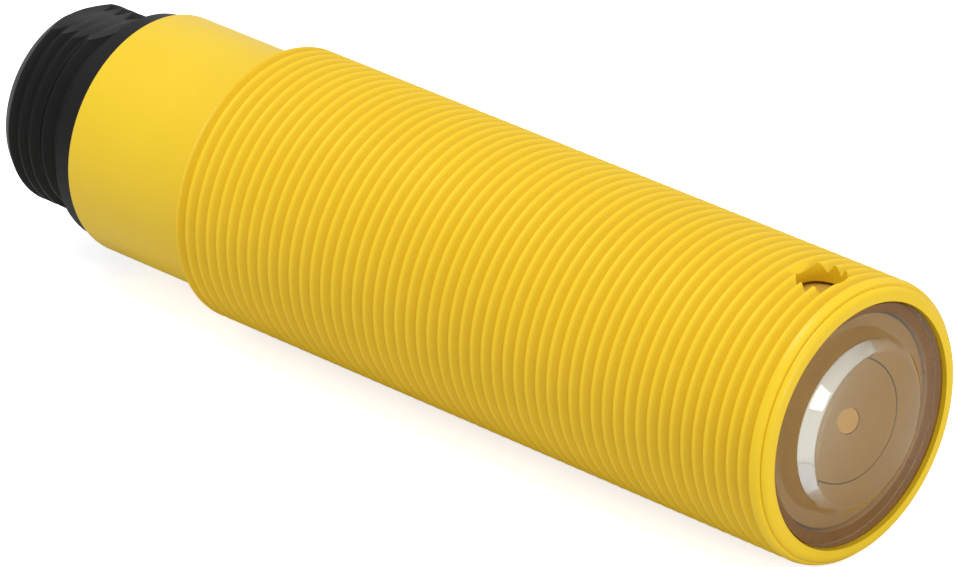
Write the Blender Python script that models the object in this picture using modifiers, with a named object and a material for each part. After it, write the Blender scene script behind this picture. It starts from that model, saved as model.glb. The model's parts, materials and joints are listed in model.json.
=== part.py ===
"""Photoelectric sensor in a 30 mm threaded barrel, with a screw connector at its rear end.

The barrel's axis is +Y: its front rim lies in the plane Y = 0 and the connector points to +Y.
+Z is up, and the indicator hole in the barrel's side looks that way.
Lengths are in metres, written in millimetres times MM.
"""

from math import asin, cos, pi, sin, sqrt

import bpy

MM = 0.001

# Gap left between two pieces that touch on the real sensor.
GAP = 0.3 * MM

# Facets round a turned piece.
BARREL_STEPS = 32
SMALL_STEPS = 16
RING_SECTION_STEPS = 8

# How far a cutter reaches past the faces it cuts.
CUT_MARGIN = 2.0 * MM

# Barrel: a 30 mm thread of 1.5 mm pitch, then a smooth tail of smaller diameter.
PITCH = 1.5 * MM
CREST_R = 15.0 * MM
ROOT_R = 14.08 * MM
CREST_FLAT = 0.24 * MM
GROOVE_HALF_WIDTH = (PITCH - CREST_FLAT) / 2
FIRST_GROOVE_Y = 2.33 * MM
GROOVE_COUNT = 53
THREAD_END_Y = 81.17 * MM
SHOULDER_EDGE = 0.15 * MM
TAIL_R = 13.27 * MM
TAIL_END_Y = 98.96 * MM
TAIL_EDGE = 0.2 * MM
BORE_R = 12.1 * MM
RECESS_R = 13.0 * MM
RECESS_DEPTH = 10.5 * MM

# Front rim: a rounded lip, a fine groove and one plain ring before the thread.
RIM_FACE_R = 13.6 * MM
LIP_R = 14.42 * MM
LIP_END_Y = 0.6 * MM
LIP_POINTS = 5
RIM_GROOVE_R = 14.25 * MM
RIM_GROOVE_Y = 0.67 * MM
RING_R = 14.68 * MM
RING_START_Y = 0.75 * MM

# Indicator hole, drilled radially from the top into the bore.
HOLE_R = 2.62 * MM
HOLE_Y = 5.57 * MM

# Front lens: a flat flange, a low spherical dome with a sloping shoulder and a skirt under
# the hole.
LENS_R = RECESS_R - 0.35 * MM
LENS_FACE_Y = 0.4 * MM
LENS_FLANGE_BACK_Y = 2.6 * MM
LENS_EDGE = 0.15 * MM
DOME_BASE_R = 9.3 * MM
DOME_HEIGHT = 2.29 * MM
DOME_SHOULDER_R = 7.7 * MM
DOME_SPHERE_R = 28.0 * MM
DOME_POINTS = 7
SKIRT_INNER_R = 11.4 * MM
SKIRT_END_Y = RECESS_DEPTH - GAP
SKIRT_GROOVE = (8.5 * MM, 9.7 * MM)
SKIRT_GROOVE_R = 11.85 * MM

# The ring that seals the skirt in the recess, behind the indicator hole.
LENS_SEAL_R = 12.4 * MM
LENS_SEAL_SECTION_R = 0.4 * MM

# Optics holder: a tube whose front flange lies behind the lens, with the aperture plate let
# into it.
HOLDER_FLANGE_R = SKIRT_INNER_R - GAP
HOLDER_FLANGE_Y = LENS_FLANGE_BACK_Y + 2 * GAP
HOLDER_FLANGE_THICKNESS = 2.0 * MM
HOLDER_R = 9.9 * MM
HOLDER_END_Y = 12.7 * MM
PLATE_Y = HOLDER_FLANGE_Y
PLATE_THICKNESS = 1.0 * MM
PLATE_SEAT_R = 6.0 * MM
PLATE_R = PLATE_SEAT_R - GAP
LEDGE_R = 5.2 * MM
LEDGE_THICKNESS = 0.8 * MM
HOLDER_REAR_R = 8.3 * MM
APERTURE_R = 1.5 * MM

# Photodiode: a stem on the front board, a flange and a chamfered nose in the plate's aperture.
DIODE_R = APERTURE_R - GAP
DIODE_STEM_R = 1.9 * MM
DIODE_FLANGE_R = 2.8 * MM
DIODE_FLANGE_THICKNESS = 0.8 * MM
DIODE_TOP_Y = PLATE_Y + 0.1 * MM
DIODE_FACE_R = 1.1 * MM
DIODE_EDGE = 0.1 * MM

FRONT_BOARD_R = 11.5 * MM
FRONT_BOARD_THICKNESS = 1.2 * MM
FRONT_BOARD_Y = HOLDER_END_Y + GAP

# Indicator lamps, which shine into the rear edge of the lens skirt.
LAMP_SIZE = (2.4 * MM, 2.1 * MM, 1.2 * MM)
LAMP_X = 1.9 * MM
LAMP_Z = 10.85 * MM

# Main board, flat in the plane Z = 0, held by a slotted rail on each side.
BOARD_HALF_WIDTH = 9.8 * MM
BOARD_THICKNESS = 1.6 * MM
BOARD_START_Y = FRONT_BOARD_Y + FRONT_BOARD_THICKNESS + GAP
BOARD_END_Y = 82.0 * MM
BOARD_FACE_Z = BOARD_THICKNESS / 2 + GAP
RAIL_OUTER_X = 11.3 * MM
RAIL_INNER_X = 8.9 * MM
RAIL_HEIGHT = 4.4 * MM
RAIL_START_Y = 18.0 * MM
RAIL_END_Y = 80.0 * MM
RAIL_SLOT_HEIGHT = BOARD_THICKNESS + 2 * GAP

# Blocks on the board, in millimetres: name, centre X and Y, side (+1 top, -1 bottom), size, material.
BLOCKS = (
    ("board_header", 0.0, 15.9, 1, (7.6, 2.5, 2.5), "black_moulding"),
    ("microcontroller", 0.0, 25.0, 1, (7.0, 7.0, 1.2), "black_moulding"),
    ("voltage_regulator", -5.0, 34.5, 1, (6.5, 6.0, 2.3), "black_moulding"),
    ("protection_diode", 5.0, 34.5, 1, (4.5, 6.0, 2.4), "black_moulding"),
    ("output_transistor_left", -6.6, 70.0, 1, (4.0, 6.5, 1.6), "black_moulding"),
    ("output_transistor_right", 6.6, 70.0, 1, (4.0, 6.5, 1.6), "black_moulding"),
    ("amplifier_chip", 0.0, 27.0, -1, (4.0, 5.0, 1.5), "black_moulding"),
)
BLOCK_EDGE = 0.2 * MM

CAPACITOR_R = 4.0 * MM
CAPACITOR_START_Y = 52.0 * MM
CAPACITOR_LENGTH = 12.0 * MM
CAPACITOR_CRIMP_Y = CAPACITOR_START_Y + 1.6 * MM
CAPACITOR_CRIMP_DEPTH = 0.4 * MM
CAPACITOR_EDGE = 0.4 * MM

INDUCTOR_R = 3.6 * MM
INDUCTOR_WAIST_R = 2.9 * MM
INDUCTOR_HEIGHT = 4.0 * MM
INDUCTOR_RIM = 0.9 * MM
INDUCTOR_Y = 44.0 * MM

SHIELD_SIZE = (13.0 * MM, 15.0 * MM, 4.0 * MM)
SHIELD_Y = 27.0 * MM
SHIELD_WALL = 0.4 * MM

# Rear fill, through which the four leads pass.
POTTING_R = 11.7 * MM
POTTING_START_Y = 84.8 * MM
POTTING_END_Y = 91.0 * MM

# Connector: spigot in the bore, flange, neck, a 7/8-16 thread with one flat on top and a
# lead-in cone at its rear end.
SPIGOT_R = 11.7 * MM
SPIGOT_START_Y = 92.0 * MM
SEAL_GROOVE = (95.4 * MM, 97.2 * MM)
SEAL_GROOVE_R = 10.3 * MM
CONNECTOR_SEAL_R = 11.15 * MM
CONNECTOR_SEAL_SECTION_R = 0.6 * MM
FLANGE_R = 12.6 * MM
FLANGE_START_Y = TAIL_END_Y + GAP
FLANGE_END_Y = 101.4 * MM
FLANGE_EDGE = 0.2 * MM
COLLAR_R = 11.3 * MM
COLLAR_END_Y = 102.6 * MM
NECK_R = 10.0 * MM
NECK_END_Y = 104.3 * MM
CONNECTOR_END_Y = 111.5 * MM
CONNECTOR_END_R = 10.3 * MM
LEAD_IN_Y = 110.6 * MM
LEAD_IN_R = 10.9 * MM
CONNECTOR_PITCH = 25.4 / 16 * MM
CONNECTOR_CREST_R = 25.4 * 7 / 8 / 2 * MM
CONNECTOR_FIRST_CREST_R = 10.8 * MM
CONNECTOR_ROOT_R = 10.5 * MM
CONNECTOR_CREST_HALF_WIDTH = 0.25 * MM
CONNECTOR_ROOT_HALF_WIDTH = 0.15 * MM
LAST_CREST_Y = 110.08 * MM
CREST_COUNT = 4
FLAT_Z = 10.18 * MM
FLAT_START_Y = COLLAR_END_Y + 0.4 * MM

# Connector socket with its key, and the insert and the four pins in it.
SOCKET_R = 8.7 * MM
SOCKET_EDGE = 0.3 * MM
SOCKET_LIP_R = 7.6 * MM
SOCKET_LIP_Y = 94.6 * MM
KEY_INNER_Z = 7.9 * MM
KEY_OUTER_Z = 9.0 * MM
KEY_WIDTH = 2.0 * MM
KEY_END_Y = 109.5 * MM
INSERT_R = SOCKET_R - 0.35 * MM
INSERT_START_Y = SOCKET_LIP_Y + GAP
INSERT_END_Y = 102.0 * MM
PIN_R = 1.0 * MM
PIN_CIRCLE_R = 4.9 * MM
PIN_START_Y = 92.2 * MM
PIN_END_Y = 109.2 * MM
PIN_COLLAR_R = 1.5 * MM
PIN_COLLAR = (93.4 * MM, 94.6 * MM)
PIN_TIP_R = 0.55 * MM
PIN_TIP_LENGTH = 0.5 * MM
PIN_NAMES = ("1", "2", "3", "4")

# Insulated leads from the board's pads to the pins.
LEAD_R = 0.6 * MM
LEAD_NAMES = ("brown", "white", "blue", "black")
LEAD_PAD_X = 5.6 * MM
LEAD_START_Y = 76.0 * MM
LEAD_BEND_END_Y = 84.0 * MM
LEAD_END_Y = PIN_START_Y - GAP
LEAD_BEND_POINTS = 8

# Colour, roughness, metallic and transmission of each material.
MATERIALS = {
    "yellow_barrel": ((0.86, 0.52, 0.02), 0.45, 0.0, 0.0),
    "smoked_lens": ((0.46, 0.26, 0.07), 0.06, 0.0, 0.7),
    "black_connector": ((0.012, 0.012, 0.013), 0.28, 0.0, 0.0),
    "grey_insert": ((0.05, 0.05, 0.055), 0.5, 0.0, 0.0),
    "black_rubber": ((0.018, 0.018, 0.018), 0.75, 0.0, 0.0),
    "ochre_moulding": ((0.62, 0.40, 0.08), 0.5, 0.0, 0.0),
    "diode_can": ((0.85, 0.58, 0.14), 0.2, 0.0, 0.0),
    "circuit_board": ((0.02, 0.16, 0.06), 0.4, 0.0, 0.0),
    "black_moulding": ((0.02, 0.02, 0.022), 0.5, 0.0, 0.0),
    "natural_moulding": ((0.72, 0.70, 0.64), 0.5, 0.0, 0.0),
    "capacitor_can": ((0.70, 0.71, 0.73), 0.3, 1.0, 0.0),
    "ferrite": ((0.05, 0.05, 0.055), 0.6, 0.0, 0.0),
    "tinned_steel": ((0.62, 0.62, 0.60), 0.35, 1.0, 0.0),
    "gold_contact": ((0.83, 0.61, 0.26), 0.25, 1.0, 0.0),
    "potting_resin": ((0.05, 0.045, 0.04), 0.4, 0.0, 0.0),
    "green_lamp": ((0.08, 0.55, 0.12), 0.25, 0.0, 0.0),
    "amber_lamp": ((0.80, 0.42, 0.03), 0.25, 0.0, 0.0),
    "lead_brown": ((0.20, 0.09, 0.04), 0.5, 0.0, 0.0),
    "lead_white": ((0.80, 0.80, 0.78), 0.5, 0.0, 0.0),
    "lead_blue": ((0.04, 0.12, 0.45), 0.5, 0.0, 0.0),
    "lead_black": ((0.02, 0.02, 0.02), 0.5, 0.0, 0.0),
}

# Turns an object's local Z into the barrel's axis, +Y.
ALONG_BARREL = (-pi / 2, 0.0, 0.0)


def clear_scene():
    for obj in list(bpy.data.objects):
        bpy.data.objects.remove(obj, do_unlink=True)


def new_collection(name):
    collection = bpy.data.collections.new(name)
    bpy.context.scene.collection.children.link(collection)
    return collection


def new_material(name, colour, roughness, metallic, transmission):
    material = bpy.data.materials.new(name)
    material.use_nodes = True
    shader = material.node_tree.nodes["Principled BSDF"]
    shader.inputs["Base Color"].default_value = (*colour, 1.0)
    shader.inputs["Roughness"].default_value = roughness
    shader.inputs["Metallic"].default_value = metallic
    shader.inputs["Transmission Weight"].default_value = transmission
    material.diffuse_color = (*colour, 1.0)
    return material


def finish(obj, material=None):
    """Move a new object into its collection, with its material or as a hidden cutter."""
    for collection in list(obj.users_collection):
        collection.objects.unlink(obj)
    if material:
        parts.objects.link(obj)
        obj.data.materials.append(materials[material])
        obj.parent = frame
    else:
        cutters.objects.link(obj)
        obj.hide_render = True
        obj.display_type = "WIRE"
    return obj


def turned(name, profile, material, steps=BARREL_STEPS, closed=False):
    """Turn a profile of (radius, distance along the barrel) about the barrel's axis."""
    mesh = bpy.data.meshes.new(name)
    points = [(radius, 0.0, along) for radius, along in profile]
    edges = [(i, i + 1) for i in range(len(points) - 1)]
    if closed:
        edges.append((len(points) - 1, 0))
    mesh.from_pydata(points, edges, [])
    obj = bpy.data.objects.new(name, mesh)
    screw = obj.modifiers.new("Turn", "SCREW")
    screw.axis = "Z"
    screw.steps = steps
    screw.render_steps = steps
    screw.use_merge_vertices = True
    screw.merge_threshold = 0.001 * MM
    screw.use_smooth_shade = False
    obj.rotation_euler = ALONG_BARREL
    return finish(obj, material)


def torus(name, ring_r, section_r, along, material):
    bpy.ops.mesh.primitive_torus_add(
        major_radius=ring_r,
        minor_radius=section_r,
        major_segments=BARREL_STEPS,
        minor_segments=RING_SECTION_STEPS,
        location=(0.0, along, 0.0),
        rotation=ALONG_BARREL,
    )
    obj = bpy.context.object
    obj.name = name
    return finish(obj, material)


def block(name, size, centre, material=None, edge=0.0):
    """A box with its scale applied and, if asked for, its edges chamfered."""
    bpy.ops.mesh.primitive_cube_add(size=1.0, location=centre)
    obj = bpy.context.object
    obj.name = name
    for vertex in obj.data.vertices:
        vertex.co = [vertex.co[i] * size[i] for i in range(3)]
    if edge:
        bevel = obj.modifiers.new("Edge", "BEVEL")
        bevel.width = edge
        bevel.segments = 1
    return finish(obj, material)


def rod(name, radius, start, end, steps=SMALL_STEPS):
    """A round cutter between two points on one of the world's axes."""
    length = max(abs(b - a) for a, b in zip(start, end))
    upright = start[1] == end[1]
    bpy.ops.mesh.primitive_cylinder_add(
        vertices=steps,
        radius=radius,
        depth=length,
        location=[(a + b) / 2 for a, b in zip(start, end)],
        rotation=(0.0, 0.0, 0.0) if upright else ALONG_BARREL,
    )
    obj = bpy.context.object
    obj.name = name
    return finish(obj)


def combine(obj, other, operation):
    boolean = obj.modifiers.new(other.name, "BOOLEAN")
    boolean.operation = operation
    boolean.object = other


def arc(centre, radius, start, end, count):
    """Points on an arc of (radius, along), with angles from the +radius direction."""
    angles = [start + (end - start) * i / (count - 1) for i in range(count)]
    return [(centre[0] + radius * cos(a), centre[1] + radius * sin(a)) for a in angles]


def pin_places():
    """The four pins' (x, z), from the upper left one, clockwise as seen from behind."""
    reach = PIN_CIRCLE_R / sqrt(2)
    return [(-reach, reach), (-reach, -reach), (reach, reach), (reach, -reach)]


def barrel_outline():
    """The barrel's outside, from the tail to the front rim."""
    points = [
        (TAIL_R - TAIL_EDGE, TAIL_END_Y),
        (TAIL_R, TAIL_END_Y - TAIL_EDGE),
        (TAIL_R, THREAD_END_Y),
        (CREST_R - SHOULDER_EDGE, THREAD_END_Y),
        (CREST_R, THREAD_END_Y - SHOULDER_EDGE),
    ]
    for i in reversed(range(GROOVE_COUNT)):
        centre = FIRST_GROOVE_Y + i * PITCH
        points += [
            (CREST_R, centre + GROOVE_HALF_WIDTH),
            (ROOT_R, centre),
            (CREST_R, centre - GROOVE_HALF_WIDTH),
        ]
    points += [(RING_R, RING_START_Y), (RIM_GROOVE_R, RIM_GROOVE_Y)]
    for i in range(LIP_POINTS):
        turn = pi / 2 * i / (LIP_POINTS - 1)
        radius = RIM_FACE_R + (LIP_R - RIM_FACE_R) * cos(turn)
        points.append((radius, LIP_END_Y * (1 - sin(turn))))
    return points


def make_barrel():
    inside = [
        (RECESS_R, 0.0),
        (RECESS_R, RECESS_DEPTH),
        (BORE_R, RECESS_DEPTH),
        (BORE_R, TAIL_END_Y),
    ]
    barrel = turned("barrel_housing", barrel_outline() + inside, "yellow_barrel", closed=True)
    start = (0.0, HOLE_Y, BORE_R - CUT_MARGIN)
    end = (0.0, HOLE_Y, CREST_R + CUT_MARGIN)
    combine(barrel, rod("indicator_hole", HOLE_R, start, end, BARREL_STEPS), "DIFFERENCE")


def dome_points():
    """The lens's dome: its base circle, then a low spherical cap from the shoulder to the tip."""
    tip_y = LENS_FACE_Y - DOME_HEIGHT
    shoulder_angle = asin(DOME_SHOULDER_R / DOME_SPHERE_R) - pi / 2
    centre = (0.0, tip_y + DOME_SPHERE_R)
    cap = arc(centre, DOME_SPHERE_R, shoulder_angle, -pi / 2, DOME_POINTS)
    return [(DOME_BASE_R, LENS_FACE_Y)] + cap[:-1] + [(0.0, tip_y)]


def make_lens():
    body = [
        (0.0, LENS_FLANGE_BACK_Y),
        (SKIRT_INNER_R, LENS_FLANGE_BACK_Y),
        (SKIRT_INNER_R, SKIRT_END_Y),
        (LENS_R, SKIRT_END_Y),
        (LENS_R, SKIRT_GROOVE[1]),
        (SKIRT_GROOVE_R, SKIRT_GROOVE[1]),
        (SKIRT_GROOVE_R, SKIRT_GROOVE[0]),
        (LENS_R, SKIRT_GROOVE[0]),
        (LENS_R, LENS_FACE_Y + LENS_EDGE),
        (LENS_R - LENS_EDGE, LENS_FACE_Y),
    ]
    turned("front_lens", body + dome_points(), "smoked_lens")
    seal_y = sum(SKIRT_GROOVE) / 2
    torus("lens_seal_ring", LENS_SEAL_R, LENS_SEAL_SECTION_R, seal_y, "black_rubber")


def make_optics():
    ledge_y = PLATE_Y + PLATE_THICKNESS + GAP
    holder = [
        (HOLDER_R, HOLDER_END_Y),
        (HOLDER_R, HOLDER_FLANGE_Y + HOLDER_FLANGE_THICKNESS),
        (HOLDER_FLANGE_R, HOLDER_FLANGE_Y + HOLDER_FLANGE_THICKNESS),
        (HOLDER_FLANGE_R, HOLDER_FLANGE_Y),
        (PLATE_SEAT_R, HOLDER_FLANGE_Y),
        (PLATE_SEAT_R, ledge_y),
        (LEDGE_R, ledge_y),
        (LEDGE_R, ledge_y + LEDGE_THICKNESS),
        (HOLDER_REAR_R, ledge_y + LEDGE_THICKNESS),
        (HOLDER_REAR_R, HOLDER_END_Y),
    ]
    turned("optics_holder", holder, "ochre_moulding", closed=True)
    plate = [
        (PLATE_R, PLATE_Y + PLATE_THICKNESS),
        (PLATE_R, PLATE_Y),
        (APERTURE_R, PLATE_Y),
        (APERTURE_R, PLATE_Y + PLATE_THICKNESS),
    ]
    turned("aperture_plate", plate, "ochre_moulding", closed=True)
    flange_y = ledge_y + GAP / 2
    can = [
        (0.0, HOLDER_END_Y),
        (DIODE_STEM_R, HOLDER_END_Y),
        (DIODE_STEM_R, flange_y + DIODE_FLANGE_THICKNESS),
        (DIODE_FLANGE_R, flange_y + DIODE_FLANGE_THICKNESS),
        (DIODE_FLANGE_R, flange_y),
        (DIODE_R, flange_y),
        (DIODE_R, DIODE_TOP_Y + DIODE_EDGE),
        (DIODE_FACE_R, DIODE_TOP_Y),
        (0.0, DIODE_TOP_Y),
    ]
    turned("photo_diode", can, "diode_can", SMALL_STEPS)


def make_front_board():
    rear = FRONT_BOARD_Y + FRONT_BOARD_THICKNESS
    disc = [(0.0, rear), (FRONT_BOARD_R, rear), (FRONT_BOARD_R, FRONT_BOARD_Y), (0.0, FRONT_BOARD_Y)]
    turned("front_board", disc, "circuit_board")
    lamp_y = HOLDER_END_Y - LAMP_SIZE[1] / 2
    for name, side in (("green", -1), ("amber", 1)):
        centre = (side * LAMP_X, lamp_y, LAMP_Z)
        block(f"indicator_lamp_{name}", LAMP_SIZE, centre, f"{name}_lamp")


def make_main_board():
    size = (2 * BOARD_HALF_WIDTH, BOARD_END_Y - BOARD_START_Y, BOARD_THICKNESS)
    block("main_board", size, (0.0, (BOARD_START_Y + BOARD_END_Y) / 2, 0.0), "circuit_board")
    for name, side in (("left", -1), ("right", 1)):
        make_rail(name, side)
    for name, x, y, side, size, material in BLOCKS:
        size = [value * MM for value in size]
        z = side * (BOARD_FACE_Z + size[2] / 2)
        block(name, size, (x * MM, y * MM, z), material, BLOCK_EDGE)


def make_rail(name, side):
    """A bar beside the bore's wall, with a slot that takes the board's long edge."""
    length = RAIL_END_Y - RAIL_START_Y
    middle = (RAIL_START_Y + RAIL_END_Y) / 2
    x = side * (RAIL_OUTER_X + RAIL_INNER_X) / 2
    size = (RAIL_OUTER_X - RAIL_INNER_X, length, RAIL_HEIGHT)
    rail = block(f"board_rail_{name}", size, (x, middle, 0.0), "natural_moulding")
    slot_size = (2 * (BOARD_HALF_WIDTH + GAP - RAIL_INNER_X), 2 * length, RAIL_SLOT_HEIGHT)
    slot = block(f"slot_{name}", slot_size, (side * RAIL_INNER_X, middle, 0.0))
    combine(rail, slot, "DIFFERENCE")


def make_capacitor():
    end = CAPACITOR_START_Y + CAPACITOR_LENGTH
    crimp = CAPACITOR_CRIMP_DEPTH
    can = [
        (0.0, end),
        (CAPACITOR_R - CAPACITOR_EDGE, end),
        (CAPACITOR_R, end - CAPACITOR_EDGE),
        (CAPACITOR_R, CAPACITOR_CRIMP_Y + crimp),
        (CAPACITOR_R - crimp, CAPACITOR_CRIMP_Y),
        (CAPACITOR_R, CAPACITOR_CRIMP_Y - crimp),
        (CAPACITOR_R, CAPACITOR_START_Y),
        (0.0, CAPACITOR_START_Y),
    ]
    obj = turned("filter_capacitor", can, "capacitor_can", SMALL_STEPS)
    obj.location.z = BOARD_FACE_Z + CAPACITOR_R


def make_inductor():
    """A drum core that stands upright on the board."""
    top = BOARD_FACE_Z + INDUCTOR_HEIGHT
    drum = [
        (0.0, top),
        (INDUCTOR_R, top),
        (INDUCTOR_R, top - INDUCTOR_RIM),
        (INDUCTOR_WAIST_R, top - INDUCTOR_RIM),
        (INDUCTOR_WAIST_R, BOARD_FACE_Z + INDUCTOR_RIM),
        (INDUCTOR_R, BOARD_FACE_Z + INDUCTOR_RIM),
        (INDUCTOR_R, BOARD_FACE_Z),
        (0.0, BOARD_FACE_Z),
    ]
    obj = turned("power_inductor", drum, "ferrite", SMALL_STEPS)
    obj.rotation_euler = (0.0, 0.0, 0.0)
    obj.location.y = INDUCTOR_Y


def make_shield():
    """A five-sided tin over the amplifier, open towards the board's underside."""
    top = -BOARD_FACE_Z
    centre = (0.0, SHIELD_Y, top - SHIELD_SIZE[2] / 2)
    shield = block("amplifier_shield", SHIELD_SIZE, centre, "tinned_steel")
    inner = (SHIELD_SIZE[0] - 2 * SHIELD_WALL, SHIELD_SIZE[1] - 2 * SHIELD_WALL, SHIELD_SIZE[2])
    hollow = block("shield_hollow", inner, (0.0, SHIELD_Y, centre[2] + SHIELD_WALL))
    combine(shield, hollow, "DIFFERENCE")


def smooth(t):
    return t * t * (3.0 - 2.0 * t)


def lead_points(x, z):
    """From a pad on the board, along a smooth bend, then straight to the pin at (x, z)."""
    x_side = 1.0 if x > 0 else -1.0
    z_side = 1.0 if z > 0 else -1.0
    pad_x = x_side * LEAD_PAD_X
    pad_z = z_side * (BOARD_FACE_Z + LEAD_R)
    points = []
    for i in range(LEAD_BEND_POINTS):
        t = i / (LEAD_BEND_POINTS - 1)
        bend = smooth(t)
        y = LEAD_START_Y + (LEAD_BEND_END_Y - LEAD_START_Y) * t
        points.append((pad_x + (x - pad_x) * bend, y, pad_z + (z - pad_z) * bend))
    return points + [(x, LEAD_END_Y, z)]


def make_leads():
    for name, (x, z) in zip(LEAD_NAMES, pin_places()):
        curve = bpy.data.curves.new(f"lead_{name}", "CURVE")
        curve.dimensions = "3D"
        curve.bevel_depth = LEAD_R
        curve.bevel_resolution = 2
        curve.use_fill_caps = True
        points = lead_points(x, z)
        spline = curve.splines.new("POLY")
        spline.points.add(len(points) - 1)
        for point, place in zip(spline.points, points):
            point.co = (*place, 1.0)
        finish(bpy.data.objects.new(f"lead_{name}", curve), f"lead_{name}")


def make_potting():
    disc = [
        (0.0, POTTING_END_Y),
        (POTTING_R, POTTING_END_Y),
        (POTTING_R, POTTING_START_Y),
        (0.0, POTTING_START_Y),
    ]
    potting = turned("potting_plug", disc, "potting_resin")
    for name, (x, z) in zip(LEAD_NAMES, pin_places()):
        start = (x, POTTING_START_Y - CUT_MARGIN, z)
        end = (x, POTTING_END_Y + CUT_MARGIN, z)
        combine(potting, rod(f"lead_hole_{name}", LEAD_R + GAP, start, end), "DIFFERENCE")


def connector_outline():
    """The connector's outside, from its rear face to the front of the spigot."""
    points = [(CONNECTOR_END_R, CONNECTOR_END_Y), (LEAD_IN_R, LEAD_IN_Y)]
    for i in range(CREST_COUNT):
        top_r = CONNECTOR_CREST_R if i < CREST_COUNT - 1 else CONNECTOR_FIRST_CREST_R
        crest_y = LAST_CREST_Y - i * CONNECTOR_PITCH
        root_y = crest_y - CONNECTOR_PITCH / 2
        points += [
            (top_r, crest_y + CONNECTOR_CREST_HALF_WIDTH),
            (top_r, crest_y - CONNECTOR_CREST_HALF_WIDTH),
        ]
        if i < CREST_COUNT - 1:
            points += [
                (CONNECTOR_ROOT_R, root_y + CONNECTOR_ROOT_HALF_WIDTH),
                (CONNECTOR_ROOT_R, root_y - CONNECTOR_ROOT_HALF_WIDTH),
            ]
    return points + [
        (NECK_R, NECK_END_Y),
        (NECK_R, COLLAR_END_Y),
        (COLLAR_R, COLLAR_END_Y),
        (FLANGE_R, FLANGE_END_Y),
        (FLANGE_R, FLANGE_START_Y + FLANGE_EDGE),
        (FLANGE_R - FLANGE_EDGE, FLANGE_START_Y),
        (SPIGOT_R, FLANGE_START_Y),
        (SPIGOT_R, SEAL_GROOVE[1]),
        (SEAL_GROOVE_R, SEAL_GROOVE[1]),
        (SEAL_GROOVE_R, SEAL_GROOVE[0]),
        (SPIGOT_R, SEAL_GROOVE[0]),
        (SPIGOT_R, SPIGOT_START_Y),
    ]


def make_connector():
    socket = [
        (SOCKET_LIP_R, SPIGOT_START_Y),
        (SOCKET_LIP_R, SOCKET_LIP_Y),
        (SOCKET_R, SOCKET_LIP_Y),
        (SOCKET_R, CONNECTOR_END_Y - SOCKET_EDGE),
        (SOCKET_R + SOCKET_EDGE, CONNECTOR_END_Y),
    ]
    shell = turned("connector_body", connector_outline() + socket, "black_connector", closed=True)
    flat_depth = 2 * (CONNECTOR_CREST_R - FLAT_Z)
    flat_length = 2 * (CONNECTOR_END_Y - FLAT_START_Y)
    flat_size = (2 * CONNECTOR_CREST_R, flat_length, flat_depth)
    flat_centre = (0.0, FLAT_START_Y + flat_length / 2, FLAT_Z + flat_depth / 2)
    combine(shell, block("flat_cutter", flat_size, flat_centre), "DIFFERENCE")
    key_start = INSERT_END_Y + GAP
    key_size = (KEY_WIDTH, KEY_END_Y - key_start, KEY_OUTER_Z - KEY_INNER_Z)
    key_centre = (0.0, (key_start + KEY_END_Y) / 2, (KEY_OUTER_Z + KEY_INNER_Z) / 2)
    combine(shell, block("socket_key", key_size, key_centre), "UNION")
    seal_y = sum(SEAL_GROOVE) / 2
    torus("connector_seal_ring", CONNECTOR_SEAL_R, CONNECTOR_SEAL_SECTION_R, seal_y, "black_rubber")


def make_contacts():
    insert_outline = [
        (0.0, INSERT_END_Y),
        (INSERT_R, INSERT_END_Y),
        (INSERT_R, INSERT_START_Y),
        (0.0, INSERT_START_Y),
    ]
    insert = turned("connector_insert", insert_outline, "grey_insert")
    pin_outline = [
        (0.0, PIN_END_Y),
        (PIN_TIP_R, PIN_END_Y),
        (PIN_R, PIN_END_Y - PIN_TIP_LENGTH),
        (PIN_R, PIN_COLLAR[1]),
        (PIN_COLLAR_R, PIN_COLLAR[1]),
        (PIN_COLLAR_R, PIN_COLLAR[0]),
        (PIN_R, PIN_COLLAR[0]),
        (PIN_R, PIN_START_Y),
        (0.0, PIN_START_Y),
    ]
    for name, (x, z) in zip(PIN_NAMES, pin_places()):
        pin = turned(f"contact_pin_{name}", pin_outline, "gold_contact", SMALL_STEPS)
        pin.location = (x, 0.0, z)
        start = (x, INSERT_START_Y - CUT_MARGIN, z)
        end = (x, INSERT_END_Y + CUT_MARGIN, z)
        combine(insert, rod(f"pin_hole_{name}", PIN_R + GAP, start, end), "DIFFERENCE")


clear_scene()
parts = new_collection("photoelectric_sensor")
cutters = new_collection("cutters")
frame = bpy.data.objects.new("sensor_frame", None)
parts.objects.link(frame)
materials = {name: new_material(name, *look) for name, look in MATERIALS.items()}

make_barrel()
make_lens()
make_optics()
make_front_board()
make_main_board()
make_capacitor()
make_inductor()
make_shield()
make_leads()
make_potting()
make_connector()
make_contacts()
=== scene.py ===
"""Looks of the photoelectric sensor: fine turned meshes, materials, lights, floor and camera.

The barrel's axis is +Y, its front rim is at Y = 0 and +Z is up through the indicator hole.
Lengths are in metres, written in millimetres times MM.
"""

import json
from math import asin, cos, pi, radians, sin, sqrt

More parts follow.
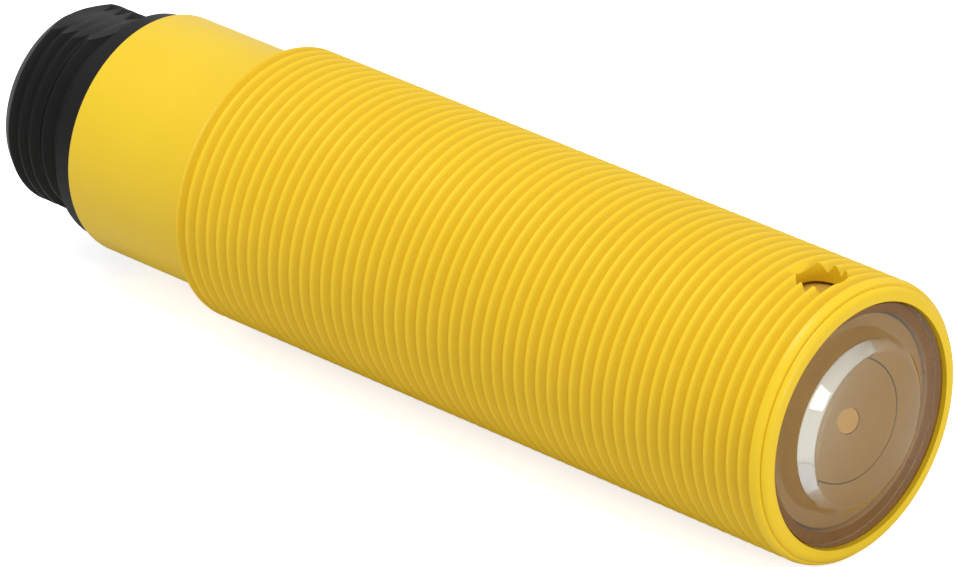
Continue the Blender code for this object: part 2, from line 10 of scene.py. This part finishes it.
import bmesh
import bpy
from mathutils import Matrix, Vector


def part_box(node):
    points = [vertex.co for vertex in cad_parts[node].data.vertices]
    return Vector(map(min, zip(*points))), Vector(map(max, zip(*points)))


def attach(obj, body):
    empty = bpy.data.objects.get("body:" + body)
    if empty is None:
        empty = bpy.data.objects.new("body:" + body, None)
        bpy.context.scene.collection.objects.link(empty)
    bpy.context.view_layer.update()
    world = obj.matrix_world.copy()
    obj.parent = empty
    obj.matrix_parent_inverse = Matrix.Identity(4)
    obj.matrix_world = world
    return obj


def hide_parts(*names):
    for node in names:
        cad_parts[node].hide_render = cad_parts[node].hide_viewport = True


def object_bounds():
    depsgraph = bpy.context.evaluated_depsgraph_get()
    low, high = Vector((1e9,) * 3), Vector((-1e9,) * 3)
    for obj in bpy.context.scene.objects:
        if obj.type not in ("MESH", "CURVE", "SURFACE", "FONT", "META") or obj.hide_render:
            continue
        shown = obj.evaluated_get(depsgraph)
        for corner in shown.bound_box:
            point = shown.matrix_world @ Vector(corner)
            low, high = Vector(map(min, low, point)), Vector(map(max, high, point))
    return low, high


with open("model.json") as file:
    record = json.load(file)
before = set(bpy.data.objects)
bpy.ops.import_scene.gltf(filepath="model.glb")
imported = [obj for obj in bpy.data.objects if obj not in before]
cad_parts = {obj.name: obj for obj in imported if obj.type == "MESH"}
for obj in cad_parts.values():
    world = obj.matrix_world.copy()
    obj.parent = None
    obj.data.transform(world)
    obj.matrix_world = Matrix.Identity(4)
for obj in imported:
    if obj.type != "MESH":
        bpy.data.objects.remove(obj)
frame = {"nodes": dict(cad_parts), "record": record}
cad_low, cad_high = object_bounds()

MM = 0.001
BODY = "root"

# Lines of each lathe mesh round the barrel's axis.
BARREL_LINES = 180
ROUND_LINES = 144
SMALL_LINES = 40
CUTTER_LINES = 96

# Edges that turn by more than this many degrees stay sharp.
SHARP_ANGLE = 32.0

# Barrel.
CREST_R = cad_high.x
PITCH = 1.5 * MM
GROOVE_DEPTH = 0.92 * MM
ROOT_R = CREST_R - GROOVE_DEPTH
CREST_FLAT = 0.24 * MM
CREST_EDGE = 0.05 * MM
ROOT_FLAT = PITCH / 12
FIRST_ROOT_Y = 2.33 * MM
GROOVE_COUNT = 53
THREAD_END_Y = 81.17 * MM
SHOULDER_EDGE = 0.2 * MM
TAIL_R = 13.27 * MM
TAIL_END_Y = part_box("barrel_housing")[1].y
TAIL_EDGE = 0.25 * MM
# Foot of the shoulder, in millimetres: rise above the tail and distance from the thread.
SHOULDER_FOOT = ((0.0, 1.1), (0.02, 0.5), (0.1, 0.2), (0.3, 0.0))
BORE_R = 12.1 * MM
RECESS_R = 13.0 * MM
RECESS_DEPTH = 10.5 * MM
RIM_FACE_R = 13.6 * MM
LIP_R = 14.42 * MM
LIP_END_Y = 0.62 * MM
RING_START_Y = 0.72 * MM
# Front edge of the plain ring, in millimetres: drop below the crests and distance from its start.
RING_EDGE = ((0.08, 0.48), (0.22, 0.13), (0.32, 0.03), (0.5, 0.0))
RIM_GROOVE_DEPTH = 0.17 * MM
RECESS_EDGE = 0.06 * MM
HOLE_R = 2.62 * MM
HOLE_Y = 5.57 * MM

# Lens.
LENS_R = 12.86 * MM
LENS_FACE_Y = 0.4 * MM
LENS_FLANGE_BACK_Y = 2.6 * MM
LENS_EDGE = 0.12 * MM
DOME_BASE_R = 9.3 * MM
DOME_TIP_Y = cad_low.y + 0.01 * MM
DOME_SPHERE_R = 28.0 * MM
DOME_EDGE_R = 8.2 * MM
DOME_FOOT_REACH = 0.25 * MM
DOME_BASE_INSET = (0.15 * MM, 0.14 * MM)
SKIRT_R = 12.7 * MM
SKIRT_INNER_R = 11.4 * MM
SKIRT_END_Y = 10.2 * MM
SKIRT_GROOVE = (8.5 * MM, 9.7 * MM)
SKIRT_GROOVE_R = 11.85 * MM

# Optics behind the lens.
HOLDER_FLANGE_R = 11.1 * MM
HOLDER_FLANGE_Y = 3.2 * MM
HOLDER_FLANGE_END_Y = 5.2 * MM
HOLDER_R = 9.9 * MM
HOLDER_END_Y = 12.7 * MM
HOLDER_REAR_R = 8.3 * MM
PLATE_Y = 3.2 * MM
PLATE_THICKNESS = 1.0 * MM
PLATE_SEAT_R = 6.0 * MM
PLATE_R = 5.85 * MM
LEDGE_R = 5.2 * MM
LEDGE_Y = 4.5 * MM
LEDGE_THICKNESS = 0.8 * MM
APERTURE_R = 1.25 * MM
DIODE_R = 1.2 * MM
DIODE_STEM_R = 1.9 * MM
DIODE_FLANGE_R = 2.8 * MM
DIODE_FLANGE_Y = LEDGE_Y + 0.15 * MM
DIODE_FLANGE_END_Y = LEDGE_Y + 0.95 * MM
DIODE_TOP_Y = PLATE_Y + 0.02 * MM
DIODE_FACE_R = 1.15 * MM
DIODE_EDGE = 0.05 * MM

# Connector.
FLANGE_R = 12.6 * MM
FLANGE_START_Y = TAIL_END_Y + 0.3 * MM
FLANGE_END_Y = 101.4 * MM
COLLAR_R = 11.3 * MM
COLLAR_END_Y = 102.6 * MM
NECK_R = 10.0 * MM
NECK_END_Y = 104.3 * MM
CONNECTOR_END_Y = cad_high.y
CONNECTOR_PITCH = 25.4 / 16 * MM
CONNECTOR_CREST_R = 25.4 * 7 / 8 / 2 * MM
CONNECTOR_ROOT_R = 10.5 * MM
FIRST_CREST_R = 10.8 * MM
CONNECTOR_END_R = 10.3 * MM
CONNECTOR_EDGE = 0.1 * MM
LAST_CREST_Y = 110.08 * MM
CREST_COUNT = 4
CONNECTOR_CREST_EDGE = 0.08 * MM
FLAT_Z = 10.18 * MM
FLAT_START_Y = COLLAR_END_Y + 0.4 * MM
SOCKET_R = 8.7 * MM
SOCKET_EDGE = 0.3 * MM
SOCKET_LIP_R = 7.6 * MM
SOCKET_LIP_Y = 94.6 * MM
SPIGOT_R = 11.7 * MM
SPIGOT_START_Y = 92.0 * MM
INSERT_R = 8.4 * MM
INSERT_START_Y = 94.9 * MM
INSERT_END_Y = 102.0 * MM
INSERT_EDGE = 0.2 * MM
KEY_LOW = (-1.0 * MM, INSERT_END_Y + 0.3 * MM, 7.9 * MM)
KEY_HIGH = (1.0 * MM, 109.5 * MM, 9.0 * MM)
PIN_R = 1.0 * MM
PIN_TIP_R = 0.6 * MM
PIN_CIRCLE_R = 4.9 * MM
PIN_START_Y = 92.2 * MM
PIN_END_Y = 109.2 * MM

# Camera: where it stands, what it looks at and its focal length on a 36 mm sensor.
CAMERA_PLACE = (-551.47, -466.13, 373.28)
CAMERA_AIM = (-2.817, 49.534, 0.0)
CAMERA_LENS = 309.41
LIGHT_AIM = (0.0, 0.05, 0.0)


# ---------------------------------------------------------------- mesh tools


def add_object(name, mesh):
    obj = bpy.data.objects.new(name, mesh)
    bpy.context.scene.collection.objects.link(obj)
    return obj


def lathe(name, profile, lines=ROUND_LINES, centre=(0.0, 0.0), closed=True):
    """A body turned from a profile of (radius, y) about the line along Y through centre."""
    work = bmesh.new()
    rings = []
    for radius, y in profile:
        if radius < 1e-9:
            rings.append([work.verts.new((centre[0], y, centre[1]))])
            continue
        angles = [2 * pi * i / lines for i in range(lines)]
        places = [(centre[0] + radius * sin(a), y, centre[1] + radius * cos(a)) for a in angles]
        rings.append([work.verts.new(place) for place in places])
    pairs = list(zip(rings, rings[1:]))
    if closed:
        pairs.append((rings[-1], rings[0]))
    for near, far in pairs:
        for i in range(lines):
            j = (i + 1) % lines
            if len(near) == 1:
                work.faces.new((near[0], far[i], far[j]))
            elif len(far) == 1:
                work.faces.new((near[j], near[i], far[0]))
            else:
                work.faces.new((near[j], near[i], far[i], far[j]))
    bmesh.ops.recalc_face_normals(work, faces=work.faces)
    mesh = bpy.data.meshes.new(name)
    work.to_mesh(mesh)
    work.free()
    mesh.shade_smooth()
    mesh.set_sharp_from_angle(angle=radians(SHARP_ANGLE))
    return add_object(name, mesh)


def arc(centre, radius, start, end, count):
    """Points of (radius, y) on an arc, with angles in degrees from the +radius direction."""
    angles = [radians(start + (end - start) * i / (count - 1)) for i in range(count)]
    return [(centre[0] + radius * cos(a), centre[1] + radius * sin(a)) for a in angles]


def rounded(points, radius, count=4):
    """A closed profile with each corner rounded, but those given a radius of zero."""
    result = []
    for i, (corner, bend) in enumerate(zip(points, radius)):
        here = Vector(corner)
        if not bend:
            result.append(tuple(here))
            continue
        before = Vector(points[i - 1]) - here
        after = Vector(points[(i + 1) % len(points)]) - here
        reach = min(bend, before.length / 2.2, after.length / 2.2)
        start = here + before.normalized() * reach
        end = here + after.normalized() * reach
        for step in range(count):
            t = step / (count - 1)
            place = start * (1 - t) ** 2 + here * 2 * t * (1 - t) + end * t**2
            result.append(tuple(place))
    return result


def carve(obj, cutter, operation="DIFFERENCE"):
    """Cut or join with a Boolean, keep the result in the mesh and remove the cutter."""
    boolean = obj.modifiers.new("carve", "BOOLEAN")
    boolean.operation = operation
    boolean.solver = "MANIFOLD"
    boolean.object = cutter
    bpy.context.view_layer.update()
    graph = bpy.context.evaluated_depsgraph_get()
    mesh = bpy.data.meshes.new_from_object(obj.evaluated_get(graph))
    obj.modifiers.clear()
    old = obj.data
    obj.data = mesh
    mesh.name = obj.name
    bpy.data.meshes.remove(old)
    bpy.data.objects.remove(cutter)
    mesh.shade_smooth()
    mesh.set_sharp_from_angle(angle=radians(SHARP_ANGLE))


def post(radius, low, high, y):
    """An upright cylinder, used as a cutter."""
    work = bmesh.new()
    bmesh.ops.create_cone(
        work,
        cap_ends=True,
        segments=CUTTER_LINES,
        radius1=radius,
        radius2=radius,
        depth=high - low,
    )
    bmesh.ops.translate(work, verts=work.verts, vec=(0.0, y, (low + high) / 2))
    mesh = bpy.data.meshes.new("post")
    work.to_mesh(mesh)
    work.free()
    return add_object("post", mesh)


def brick(low, high):
    """A box between two corners, used as a cutter or joined on."""
    work = bmesh.new()
    bmesh.ops.create_cube(work, size=1.0)
    for vertex in work.verts:
        vertex.co = [low[i] + (vertex.co[i] + 0.5) * (high[i] - low[i]) for i in range(3)]
    mesh = bpy.data.meshes.new("brick")
    work.to_mesh(mesh)
    work.free()
    return add_object("brick", mesh)


# ---------------------------------------------------------------- materials


def new_material(name):
    material = bpy.data.materials.new(name)
    material.use_nodes = True
    shader = material.node_tree.nodes["Principled BSDF"]
    return material, material.node_tree, shader


def noise(tree, scale, detail=4.0, roughness=0.55):
    coords = tree.nodes.new("ShaderNodeTexCoord")
    texture = tree.nodes.new("ShaderNodeTexNoise")
    texture.inputs["Scale"].default_value = scale
    texture.inputs["Detail"].default_value = detail
    texture.inputs["Roughness"].default_value = roughness
    tree.links.new(coords.outputs["Object"], texture.inputs["Vector"])
    return texture.outputs["Fac"]


def spread(tree, value, low, high):
    """Map the middle of a noise value's range onto the range from low to high."""
    node = tree.nodes.new("ShaderNodeMapRange")
    node.inputs["From Min"].default_value = 0.3
    node.inputs["From Max"].default_value = 0.7
    node.inputs["To Min"].default_value = low
    node.inputs["To Max"].default_value = high
    tree.links.new(value, node.inputs["Value"])
    return node.outputs["Result"]


def blend_colours(tree, value, first, second):
    node = tree.nodes.new("ShaderNodeMix")
    node.data_type = "RGBA"
    node.inputs["A"].default_value = (*first, 1.0)
    node.inputs["B"].default_value = (*second, 1.0)
    tree.links.new(value, node.inputs["Factor"])
    return node.outputs["Result"]


def add_bump(tree, shader, value, depth):
    node = tree.nodes.new("ShaderNodeBump")
    node.inputs["Strength"].default_value = 1.0
    node.inputs["Distance"].default_value = depth
    tree.links.new(value, node.inputs["Height"])
    tree.links.new(node.outputs["Normal"], shader.inputs["Normal"])


def moulded(name, colour, second, roughness, grain=900.0, depth=0.01 * MM, gloss=0.5):
    """Moulded plastic: soft colour drift, uneven polish and a fine grain."""
    material, tree, shader = new_material(name)
    drift = spread(tree, noise(tree, 60.0), 0.0, 1.0)
    tree.links.new(blend_colours(tree, drift, colour, second), shader.inputs["Base Color"])
    fine = noise(tree, grain, 3.0)
    polish = spread(tree, noise(tree, 220.0), roughness - 0.05, roughness + 0.05)
    tree.links.new(polish, shader.inputs["Roughness"])
    shader.inputs["Specular IOR Level"].default_value = gloss
    add_bump(tree, shader, fine, depth)
    return material


def metal(name, colour, second, roughness, grain=1500.0):
    """Bare metal with a slight colour drift and a fine uneven polish."""
    material, tree, shader = new_material(name)
    drift = spread(tree, noise(tree, 400.0), 0.0, 1.0)
    tree.links.new(blend_colours(tree, drift, colour, second), shader.inputs["Base Color"])
    polish = spread(tree, noise(tree, grain), roughness - 0.06, roughness + 0.08)
    tree.links.new(polish, shader.inputs["Roughness"])
    shader.inputs["Metallic"].default_value = 1.0
    add_bump(tree, shader, noise(tree, grain, 2.0), 0.004 * MM)
    return material


def clear(name, colour, ior, roughness):
    """Clear moulding that lets the lamps' light through to what lies behind it."""
    material, tree, shader = new_material(name)
    shader.inputs["Base Color"].default_value = (*colour, 1.0)
    shader.inputs["Transmission Weight"].default_value = 1.0
    shader.inputs["IOR"].default_value = ior
    shader.inputs["Roughness"].default_value = roughness
    see_through = tree.nodes.new("ShaderNodeBsdfTransparent")
    see_through.inputs["Color"].default_value = (1.0, 0.9, 0.7, 1.0)
    rays = tree.nodes.new("ShaderNodeLightPath")
    mix = tree.nodes.new("ShaderNodeMixShader")
    tree.links.new(rays.outputs["Is Shadow Ray"], mix.inputs["Fac"])
    tree.links.new(shader.outputs["BSDF"], mix.inputs[1])
    tree.links.new(see_through.outputs["BSDF"], mix.inputs[2])
    tree.links.new(mix.outputs["Shader"], tree.nodes["Material Output"].inputs["Surface"])
    return material


YELLOW = moulded("yellow barrel", (0.86, 0.575, 0.014), (0.83, 0.55, 0.012), 0.42, gloss=0.35)
LENS_CLEAR = clear("smoked lens", (0.92, 0.87, 0.78), 1.49, 0.0)
OCHRE = moulded("ochre moulding", (0.27, 0.15, 0.004), (0.25, 0.14, 0.004), 0.5)
AMBER = moulded("amber skirt", (0.62, 0.36, 0.06), (0.56, 0.32, 0.05), 0.3)
DIODE = moulded("diode resin", (0.46, 0.26, 0.01), (0.44, 0.25, 0.01), 0.45)
BLACK = moulded("black connector", (0.006, 0.006, 0.006), (0.008, 0.008, 0.008), 0.4, gloss=0.18)
INSERT = moulded("insert", (0.03, 0.03, 0.032), (0.04, 0.04, 0.042), 0.5)
GOLD = metal("gold contact", (0.83, 0.60, 0.25), (0.78, 0.55, 0.22), 0.22)


def dress(obj, material, slot_name, *nodes):
    """Give a piece its material and body, and hide the CAD nodes it stands for; the slot name is
    not used.
    """
    obj.data.materials.clear()
    obj.data.materials.append(material)
    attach(obj, BODY)
    if nodes:
        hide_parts(*nodes)


# ---------------------------------------------------------------- barrel and lens


def barrel_outline():
    """The barrel's outside, from the tail to the front rim."""
    points = arc((TAIL_R - TAIL_EDGE, TAIL_END_Y - TAIL_EDGE), TAIL_EDGE, 90, 0, 5)
    points += [(TAIL_R + rise * MM, THREAD_END_Y + along * MM) for rise, along in SHOULDER_FOOT]
    corner = (CREST_R - SHOULDER_EDGE, THREAD_END_Y - SHOULDER_EDGE)
    points += arc(corner, SHOULDER_EDGE, 90, 0, 6)
    soft = CREST_EDGE
    reach = (PITCH - CREST_FLAT) / 2
    for i in reversed(range(GROOVE_COUNT)):
        root = FIRST_ROOT_Y + i * PITCH
        if i < GROOVE_COUNT - 1:
            points.append((CREST_R, root + reach + soft))
            points.append((CREST_R - soft * 0.7, root + reach - soft * 0.4))
        points += [
            (ROOT_R + soft, root + ROOT_FLAT / 2 + soft * 0.4),
            (ROOT_R, root),
            (ROOT_R + soft, root - ROOT_FLAT / 2 - soft * 0.4),
            (CREST_R - soft * 0.7, root - reach + soft * 0.4),
            (CREST_R, root - reach - soft),
        ]
    points += [(CREST_R - drop * MM, RING_START_Y + along * MM) for drop, along in RING_EDGE]
    points.append((LIP_R - RIM_GROOVE_DEPTH, (RING_START_Y + LIP_END_Y) / 2))
    angles = [radians(90 * i / 9) for i in range(10)]
    wide = LIP_R - RIM_FACE_R
    return points + [(RIM_FACE_R + wide * cos(a), LIP_END_Y * (1 - sin(a))) for a in angles]


def make_barrel():
    inside = rounded(
        [(RECESS_R, 0.0), (RECESS_R, RECESS_DEPTH), (BORE_R, RECESS_DEPTH), (BORE_R, TAIL_END_Y)],
        [RECESS_EDGE, 0.0, 0.0, 0.0],
    )
    barrel = lathe("threaded_barrel", barrel_outline() + inside, BARREL_LINES)
    carve(barrel, post(HOLE_R, BORE_R - 3 * MM, CREST_R + 2 * MM, HOLE_Y))
    dress(barrel, YELLOW, "yellow_barrel", "barrel_housing")


def dome_outline(count=24):
    """The dome from its base to its tip: a low spherical cap with a sloping shoulder."""
    edge_slope = asin(DOME_EDGE_R / DOME_SPHERE_R)
    centre_y = DOME_TIP_Y + DOME_SPHERE_R
    slopes = [edge_slope * (1 - i / count) for i in range(count)]
    cap = [(DOME_SPHERE_R * sin(a), centre_y - DOME_SPHERE_R * cos(a)) for a in slopes]
    foot = (DOME_BASE_R + DOME_FOOT_REACH, LENS_FACE_Y)
    base = (DOME_BASE_R - DOME_BASE_INSET[0], LENS_FACE_Y - DOME_BASE_INSET[1])
    return [foot, base] + cap + [(0.0, DOME_TIP_Y)]


def make_lens():
    """The clear domed window and, behind its rim, the amber skirt."""
    window = [
        (0.0, LENS_FLANGE_BACK_Y),
        (LENS_R, LENS_FLANGE_BACK_Y),
        (LENS_R, LENS_FACE_Y + LENS_EDGE),
        (LENS_R - LENS_EDGE, LENS_FACE_Y),
    ]
    lens = lathe("domed_lens", window + dome_outline(), closed=False)
    dress(lens, LENS_CLEAR, "smoked_lens", "front_lens")
    skirt = [
        (SKIRT_INNER_R, LENS_FLANGE_BACK_Y),
        (SKIRT_INNER_R, SKIRT_END_Y),
        (SKIRT_R, SKIRT_END_Y),
        (SKIRT_R, SKIRT_GROOVE[1]),
        (SKIRT_GROOVE_R, SKIRT_GROOVE[1]),
        (SKIRT_GROOVE_R, SKIRT_GROOVE[0]),
        (SKIRT_R, SKIRT_GROOVE[0]),
        (SKIRT_R, LENS_FLANGE_BACK_Y),
    ]
    dress(lathe("lens_skirt", skirt), AMBER, "smoked_lens", "front_lens")


def make_optics():
    holder = [
        (HOLDER_R, HOLDER_END_Y),
        (HOLDER_R, HOLDER_FLANGE_END_Y),
        (HOLDER_FLANGE_R, HOLDER_FLANGE_END_Y),
        (HOLDER_FLANGE_R, HOLDER_FLANGE_Y),
        (PLATE_SEAT_R, HOLDER_FLANGE_Y),
        (PLATE_SEAT_R, LEDGE_Y),
        (LEDGE_R, LEDGE_Y),
        (LEDGE_R, LEDGE_Y + LEDGE_THICKNESS),
        (HOLDER_REAR_R, LEDGE_Y + LEDGE_THICKNESS),
        (HOLDER_REAR_R, HOLDER_END_Y),
    ]
    dress(lathe("lens_tube", holder), OCHRE, "ochre_moulding", "optics_holder")
    plate = [
        (PLATE_R, PLATE_Y + PLATE_THICKNESS),
        (PLATE_R, PLATE_Y),
        (APERTURE_R, PLATE_Y),
        (APERTURE_R, PLATE_Y + PLATE_THICKNESS),
    ]
    dress(lathe("aperture_disc", plate), OCHRE, "ochre_moulding", "aperture_plate")
    can = [
        (0.0, HOLDER_END_Y),
        (DIODE_STEM_R, HOLDER_END_Y),
        (DIODE_STEM_R, DIODE_FLANGE_END_Y),
        (DIODE_FLANGE_R, DIODE_FLANGE_END_Y),
        (DIODE_FLANGE_R, DIODE_FLANGE_Y),
        (DIODE_R, DIODE_FLANGE_Y),
        (DIODE_R, DIODE_TOP_Y + DIODE_EDGE),
        (DIODE_FACE_R, DIODE_TOP_Y),
        (0.0, DIODE_TOP_Y),
    ]
    dress(lathe("diode_can", can, SMALL_LINES, closed=False), DIODE, "diode_can", "photo_diode")


# ---------------------------------------------------------------- connector


def connector_outline():
    """The connector's outside, from its rear face to the spigot inside the barrel."""
    points = [(CONNECTOR_END_R - CONNECTOR_EDGE, CONNECTOR_END_Y)]
    points += [(CONNECTOR_END_R, CONNECTOR_END_Y - CONNECTOR_EDGE)]
    points += [(CONNECTOR_CREST_R - 0.2 * MM, LAST_CREST_Y + 0.4 * MM)]
    soft = CONNECTOR_CREST_EDGE
    for i in range(CREST_COUNT):
        crest = LAST_CREST_Y - i * CONNECTOR_PITCH
        root = crest - CONNECTOR_PITCH / 2
        top = CONNECTOR_CREST_R if i < CREST_COUNT - 1 else FIRST_CREST_R
        points += [
            (top - soft, crest + 0.2 * MM),
            (top, crest + 0.08 * MM),
            (top, crest - 0.08 * MM),
            (top - soft, crest - 0.2 * MM),
        ]
        if i < CREST_COUNT - 1:
            points += [
                (CONNECTOR_ROOT_R + 0.02 * MM, root + 0.14 * MM),
                (CONNECTOR_ROOT_R, root),
                (CONNECTOR_ROOT_R + 0.02 * MM, root - 0.14 * MM),
            ]
    corners = [
        (NECK_R, NECK_END_Y),
        (NECK_R, COLLAR_END_Y),
        (COLLAR_R, COLLAR_END_Y),
        (FLANGE_R, FLANGE_END_Y),
        (FLANGE_R, FLANGE_START_Y),
        (SPIGOT_R, FLANGE_START_Y),
        (SPIGOT_R, SPIGOT_START_Y),
    ]
    return points + corners


def make_connector():
    socket = [
        (SOCKET_LIP_R, SPIGOT_START_Y),
        (SOCKET_LIP_R, SOCKET_LIP_Y),
        (SOCKET_R, SOCKET_LIP_Y),
        (SOCKET_R, CONNECTOR_END_Y - SOCKET_EDGE),
        (SOCKET_R + SOCKET_EDGE, CONNECTOR_END_Y),
    ]
    shell = lathe("connector_shell", connector_outline() + socket)
    low = (-CONNECTOR_CREST_R, FLAT_START_Y, FLAT_Z)
    high = (CONNECTOR_CREST_R, CONNECTOR_END_Y + 3 * MM, CONNECTOR_CREST_R + 2 * MM)
    carve(shell, brick(low, high))
    carve(shell, brick(KEY_LOW, KEY_HIGH), "UNION")
    dress(shell, BLACK, "black_connector", "connector_body")


def make_contacts():
    face = [
        (0.0, INSERT_END_Y),
        (INSERT_R - INSERT_EDGE, INSERT_END_Y),
        (INSERT_R, INSERT_END_Y - INSERT_EDGE),
        (INSERT_R, INSERT_START_Y),
        (0.0, INSERT_START_Y),
    ]
    dress(lathe("pin_carrier", face, closed=False), INSERT, "grey_insert", "connector_insert")
    reach = PIN_CIRCLE_R / sqrt(2)
    places = [(-reach, reach), (-reach, -reach), (reach, reach), (reach, -reach)]
    for number, place in enumerate(places, 1):
        tip = arc((PIN_R - PIN_TIP_R, PIN_END_Y - PIN_TIP_R), PIN_TIP_R, 90, 0, 7)
        outline = [(0.0, PIN_END_Y)] + tip + [(PIN_R, PIN_START_Y), (0.0, PIN_START_Y)]
        pin = lathe(f"pin_{number}", outline, SMALL_LINES, place, closed=False)
        dress(pin, GOLD, "gold_contact", f"contact_pin_{number}")


# ---------------------------------------------------------------- inner nodes


def dress_inner_nodes():
    """Materials for the CAD nodes that are kept: boards, chips, leads, seals and resin."""
    board = moulded("circuit board", (0.015, 0.13, 0.05), (0.02, 0.17, 0.07), 0.35)
    chip = moulded("chip package", (0.02, 0.02, 0.022), (0.028, 0.028, 0.03), 0.55)
    natural = moulded("natural moulding", (0.74, 0.72, 0.66), (0.70, 0.68, 0.62), 0.5)
    rubber = moulded("rubber", (0.016, 0.016, 0.016), (0.022, 0.022, 0.022), 0.7)
    silicone = moulded("amber silicone", (0.32, 0.15, 0.05), (0.29, 0.13, 0.045), 0.5)
    by_slot = {
        "circuit_board": board,
        "black_moulding": chip,
        "natural_moulding": natural,
        "black_rubber": rubber,
        "capacitor_can": metal("capacitor can", (0.70, 0.71, 0.73), (0.66, 0.67, 0.69), 0.3),
        "ferrite": moulded("ferrite", (0.05, 0.05, 0.055), (0.07, 0.07, 0.075), 0.6),
        "tinned_steel": metal("tinned steel", (0.62, 0.62, 0.6), (0.56, 0.56, 0.55), 0.35),
        "potting_resin": moulded("resin", (0.05, 0.045, 0.04), (0.06, 0.055, 0.05), 0.35),
        "green_lamp": moulded("green lamp", (0.06, 0.5, 0.1), (0.08, 0.6, 0.13), 0.25),
        "amber_lamp": moulded("amber lamp", (0.8, 0.42, 0.03), (0.85, 0.48, 0.04), 0.25),
        "lead_brown": moulded("brown lead", (0.2, 0.09, 0.04), (0.17, 0.08, 0.035), 0.5),
        "lead_white": moulded("white lead", (0.8, 0.8, 0.78), (0.76, 0.76, 0.74), 0.5),
        "lead_blue": moulded("blue lead", (0.04, 0.12, 0.45), (0.035, 0.1, 0.4), 0.5),
        "lead_black": moulded("black lead", (0.02, 0.02, 0.02), (0.03, 0.03, 0.03), 0.5),
    }
    for part in frame["record"]["subparts"]:
        material = by_slot.get(part["material_slot"])
        if part["node"] == "lens_seal_ring":
            material = silicone
        if material:
            mesh = frame["nodes"][part["node"]].data
            mesh.materials.clear()
            mesh.materials.append(material)


# ---------------------------------------------------------------- stage


def make_floor():
    """A pale floor that looks white and throws a softer light onto the object."""
    bpy.ops.mesh.primitive_plane_add(size=6.0, location=(0.0, 0.0, cad_low.z))
    floor = bpy.context.object
    floor.name = "floor"
    material, tree, shader = new_material("pale floor")
    shader.inputs["Base Color"].default_value = (0.93, 0.93, 0.93, 1.0)
    shader.inputs["Roughness"].default_value = 0.9
    shader.inputs["Specular IOR Level"].default_value = 0.1
    shader.inputs["Emission Color"].default_value = (1.0, 1.0, 1.0, 1.0)
    shader.inputs["Emission Strength"].default_value = 0.7
    bounce = tree.nodes.new("ShaderNodeBsdfDiffuse")
    bounce.inputs["Color"].default_value = (0.7, 0.7, 0.7, 1.0)
    rays = tree.nodes.new("ShaderNodeLightPath")
    mix = tree.nodes.new("ShaderNodeMixShader")
    tree.links.new(rays.outputs["Is Camera Ray"], mix.inputs["Fac"])
    tree.links.new(bounce.outputs["BSDF"], mix.inputs[1])
    tree.links.new(shader.outputs["BSDF"], mix.inputs[2])
    tree.links.new(mix.outputs["Shader"], tree.nodes["Material Output"].inputs["Surface"])
    floor.data.materials.append(material)


def area_light(name, place, size, power, colour=(1.0, 1.0, 1.0)):
    data = bpy.data.lights.new(name, "AREA")
    data.shape = "RECTANGLE"
    data.size, data.size_y = size
    data.energy = power
    data.color = colour
    lamp = bpy.data.objects.new(name, data)
    bpy.context.scene.collection.objects.link(lamp)
    lamp.location = place
    lamp.rotation_euler = (Vector(LIGHT_AIM) - Vector(place)).to_track_quat("-Z", "Y").to_euler()


def make_lights():
    world = bpy.data.worlds.new("studio")
    world.use_nodes = True
    background = world.node_tree.nodes["Background"]
    background.inputs["Color"].default_value = (0.97, 0.98, 1.0, 1.0)
    background.inputs["Strength"].default_value = 0.72
    bpy.context.scene.world = world
    area_light("top key", (-0.22, 0.2, 0.95), (0.35, 0.35), 4.6, (0.96, 1.0, 0.86))
    area_light("front lamp", (-0.1, -0.98, 0.2), (0.3, 0.3), 3.0)


def make_camera():
    data = bpy.data.cameras.new("camera")
    data.lens = CAMERA_LENS
    data.sensor_width = 36.0
    data.clip_start = 0.05
    camera = bpy.data.objects.new("camera", data)
    bpy.context.scene.collection.objects.link(camera)
    place = Vector(CAMERA_PLACE) * MM
    aim = Vector(CAMERA_AIM) * MM
    camera.location = place
    camera.rotation_euler = (aim - place).to_track_quat("-Z", "Y").to_euler()
    bpy.context.scene.camera = camera


make_barrel()
make_lens()
make_optics()
make_connector()
make_contacts()
dress_inner_nodes()
make_floor()
make_lights()
make_camera()
bpy.context.scene.view_settings.view_transform = "Standard"
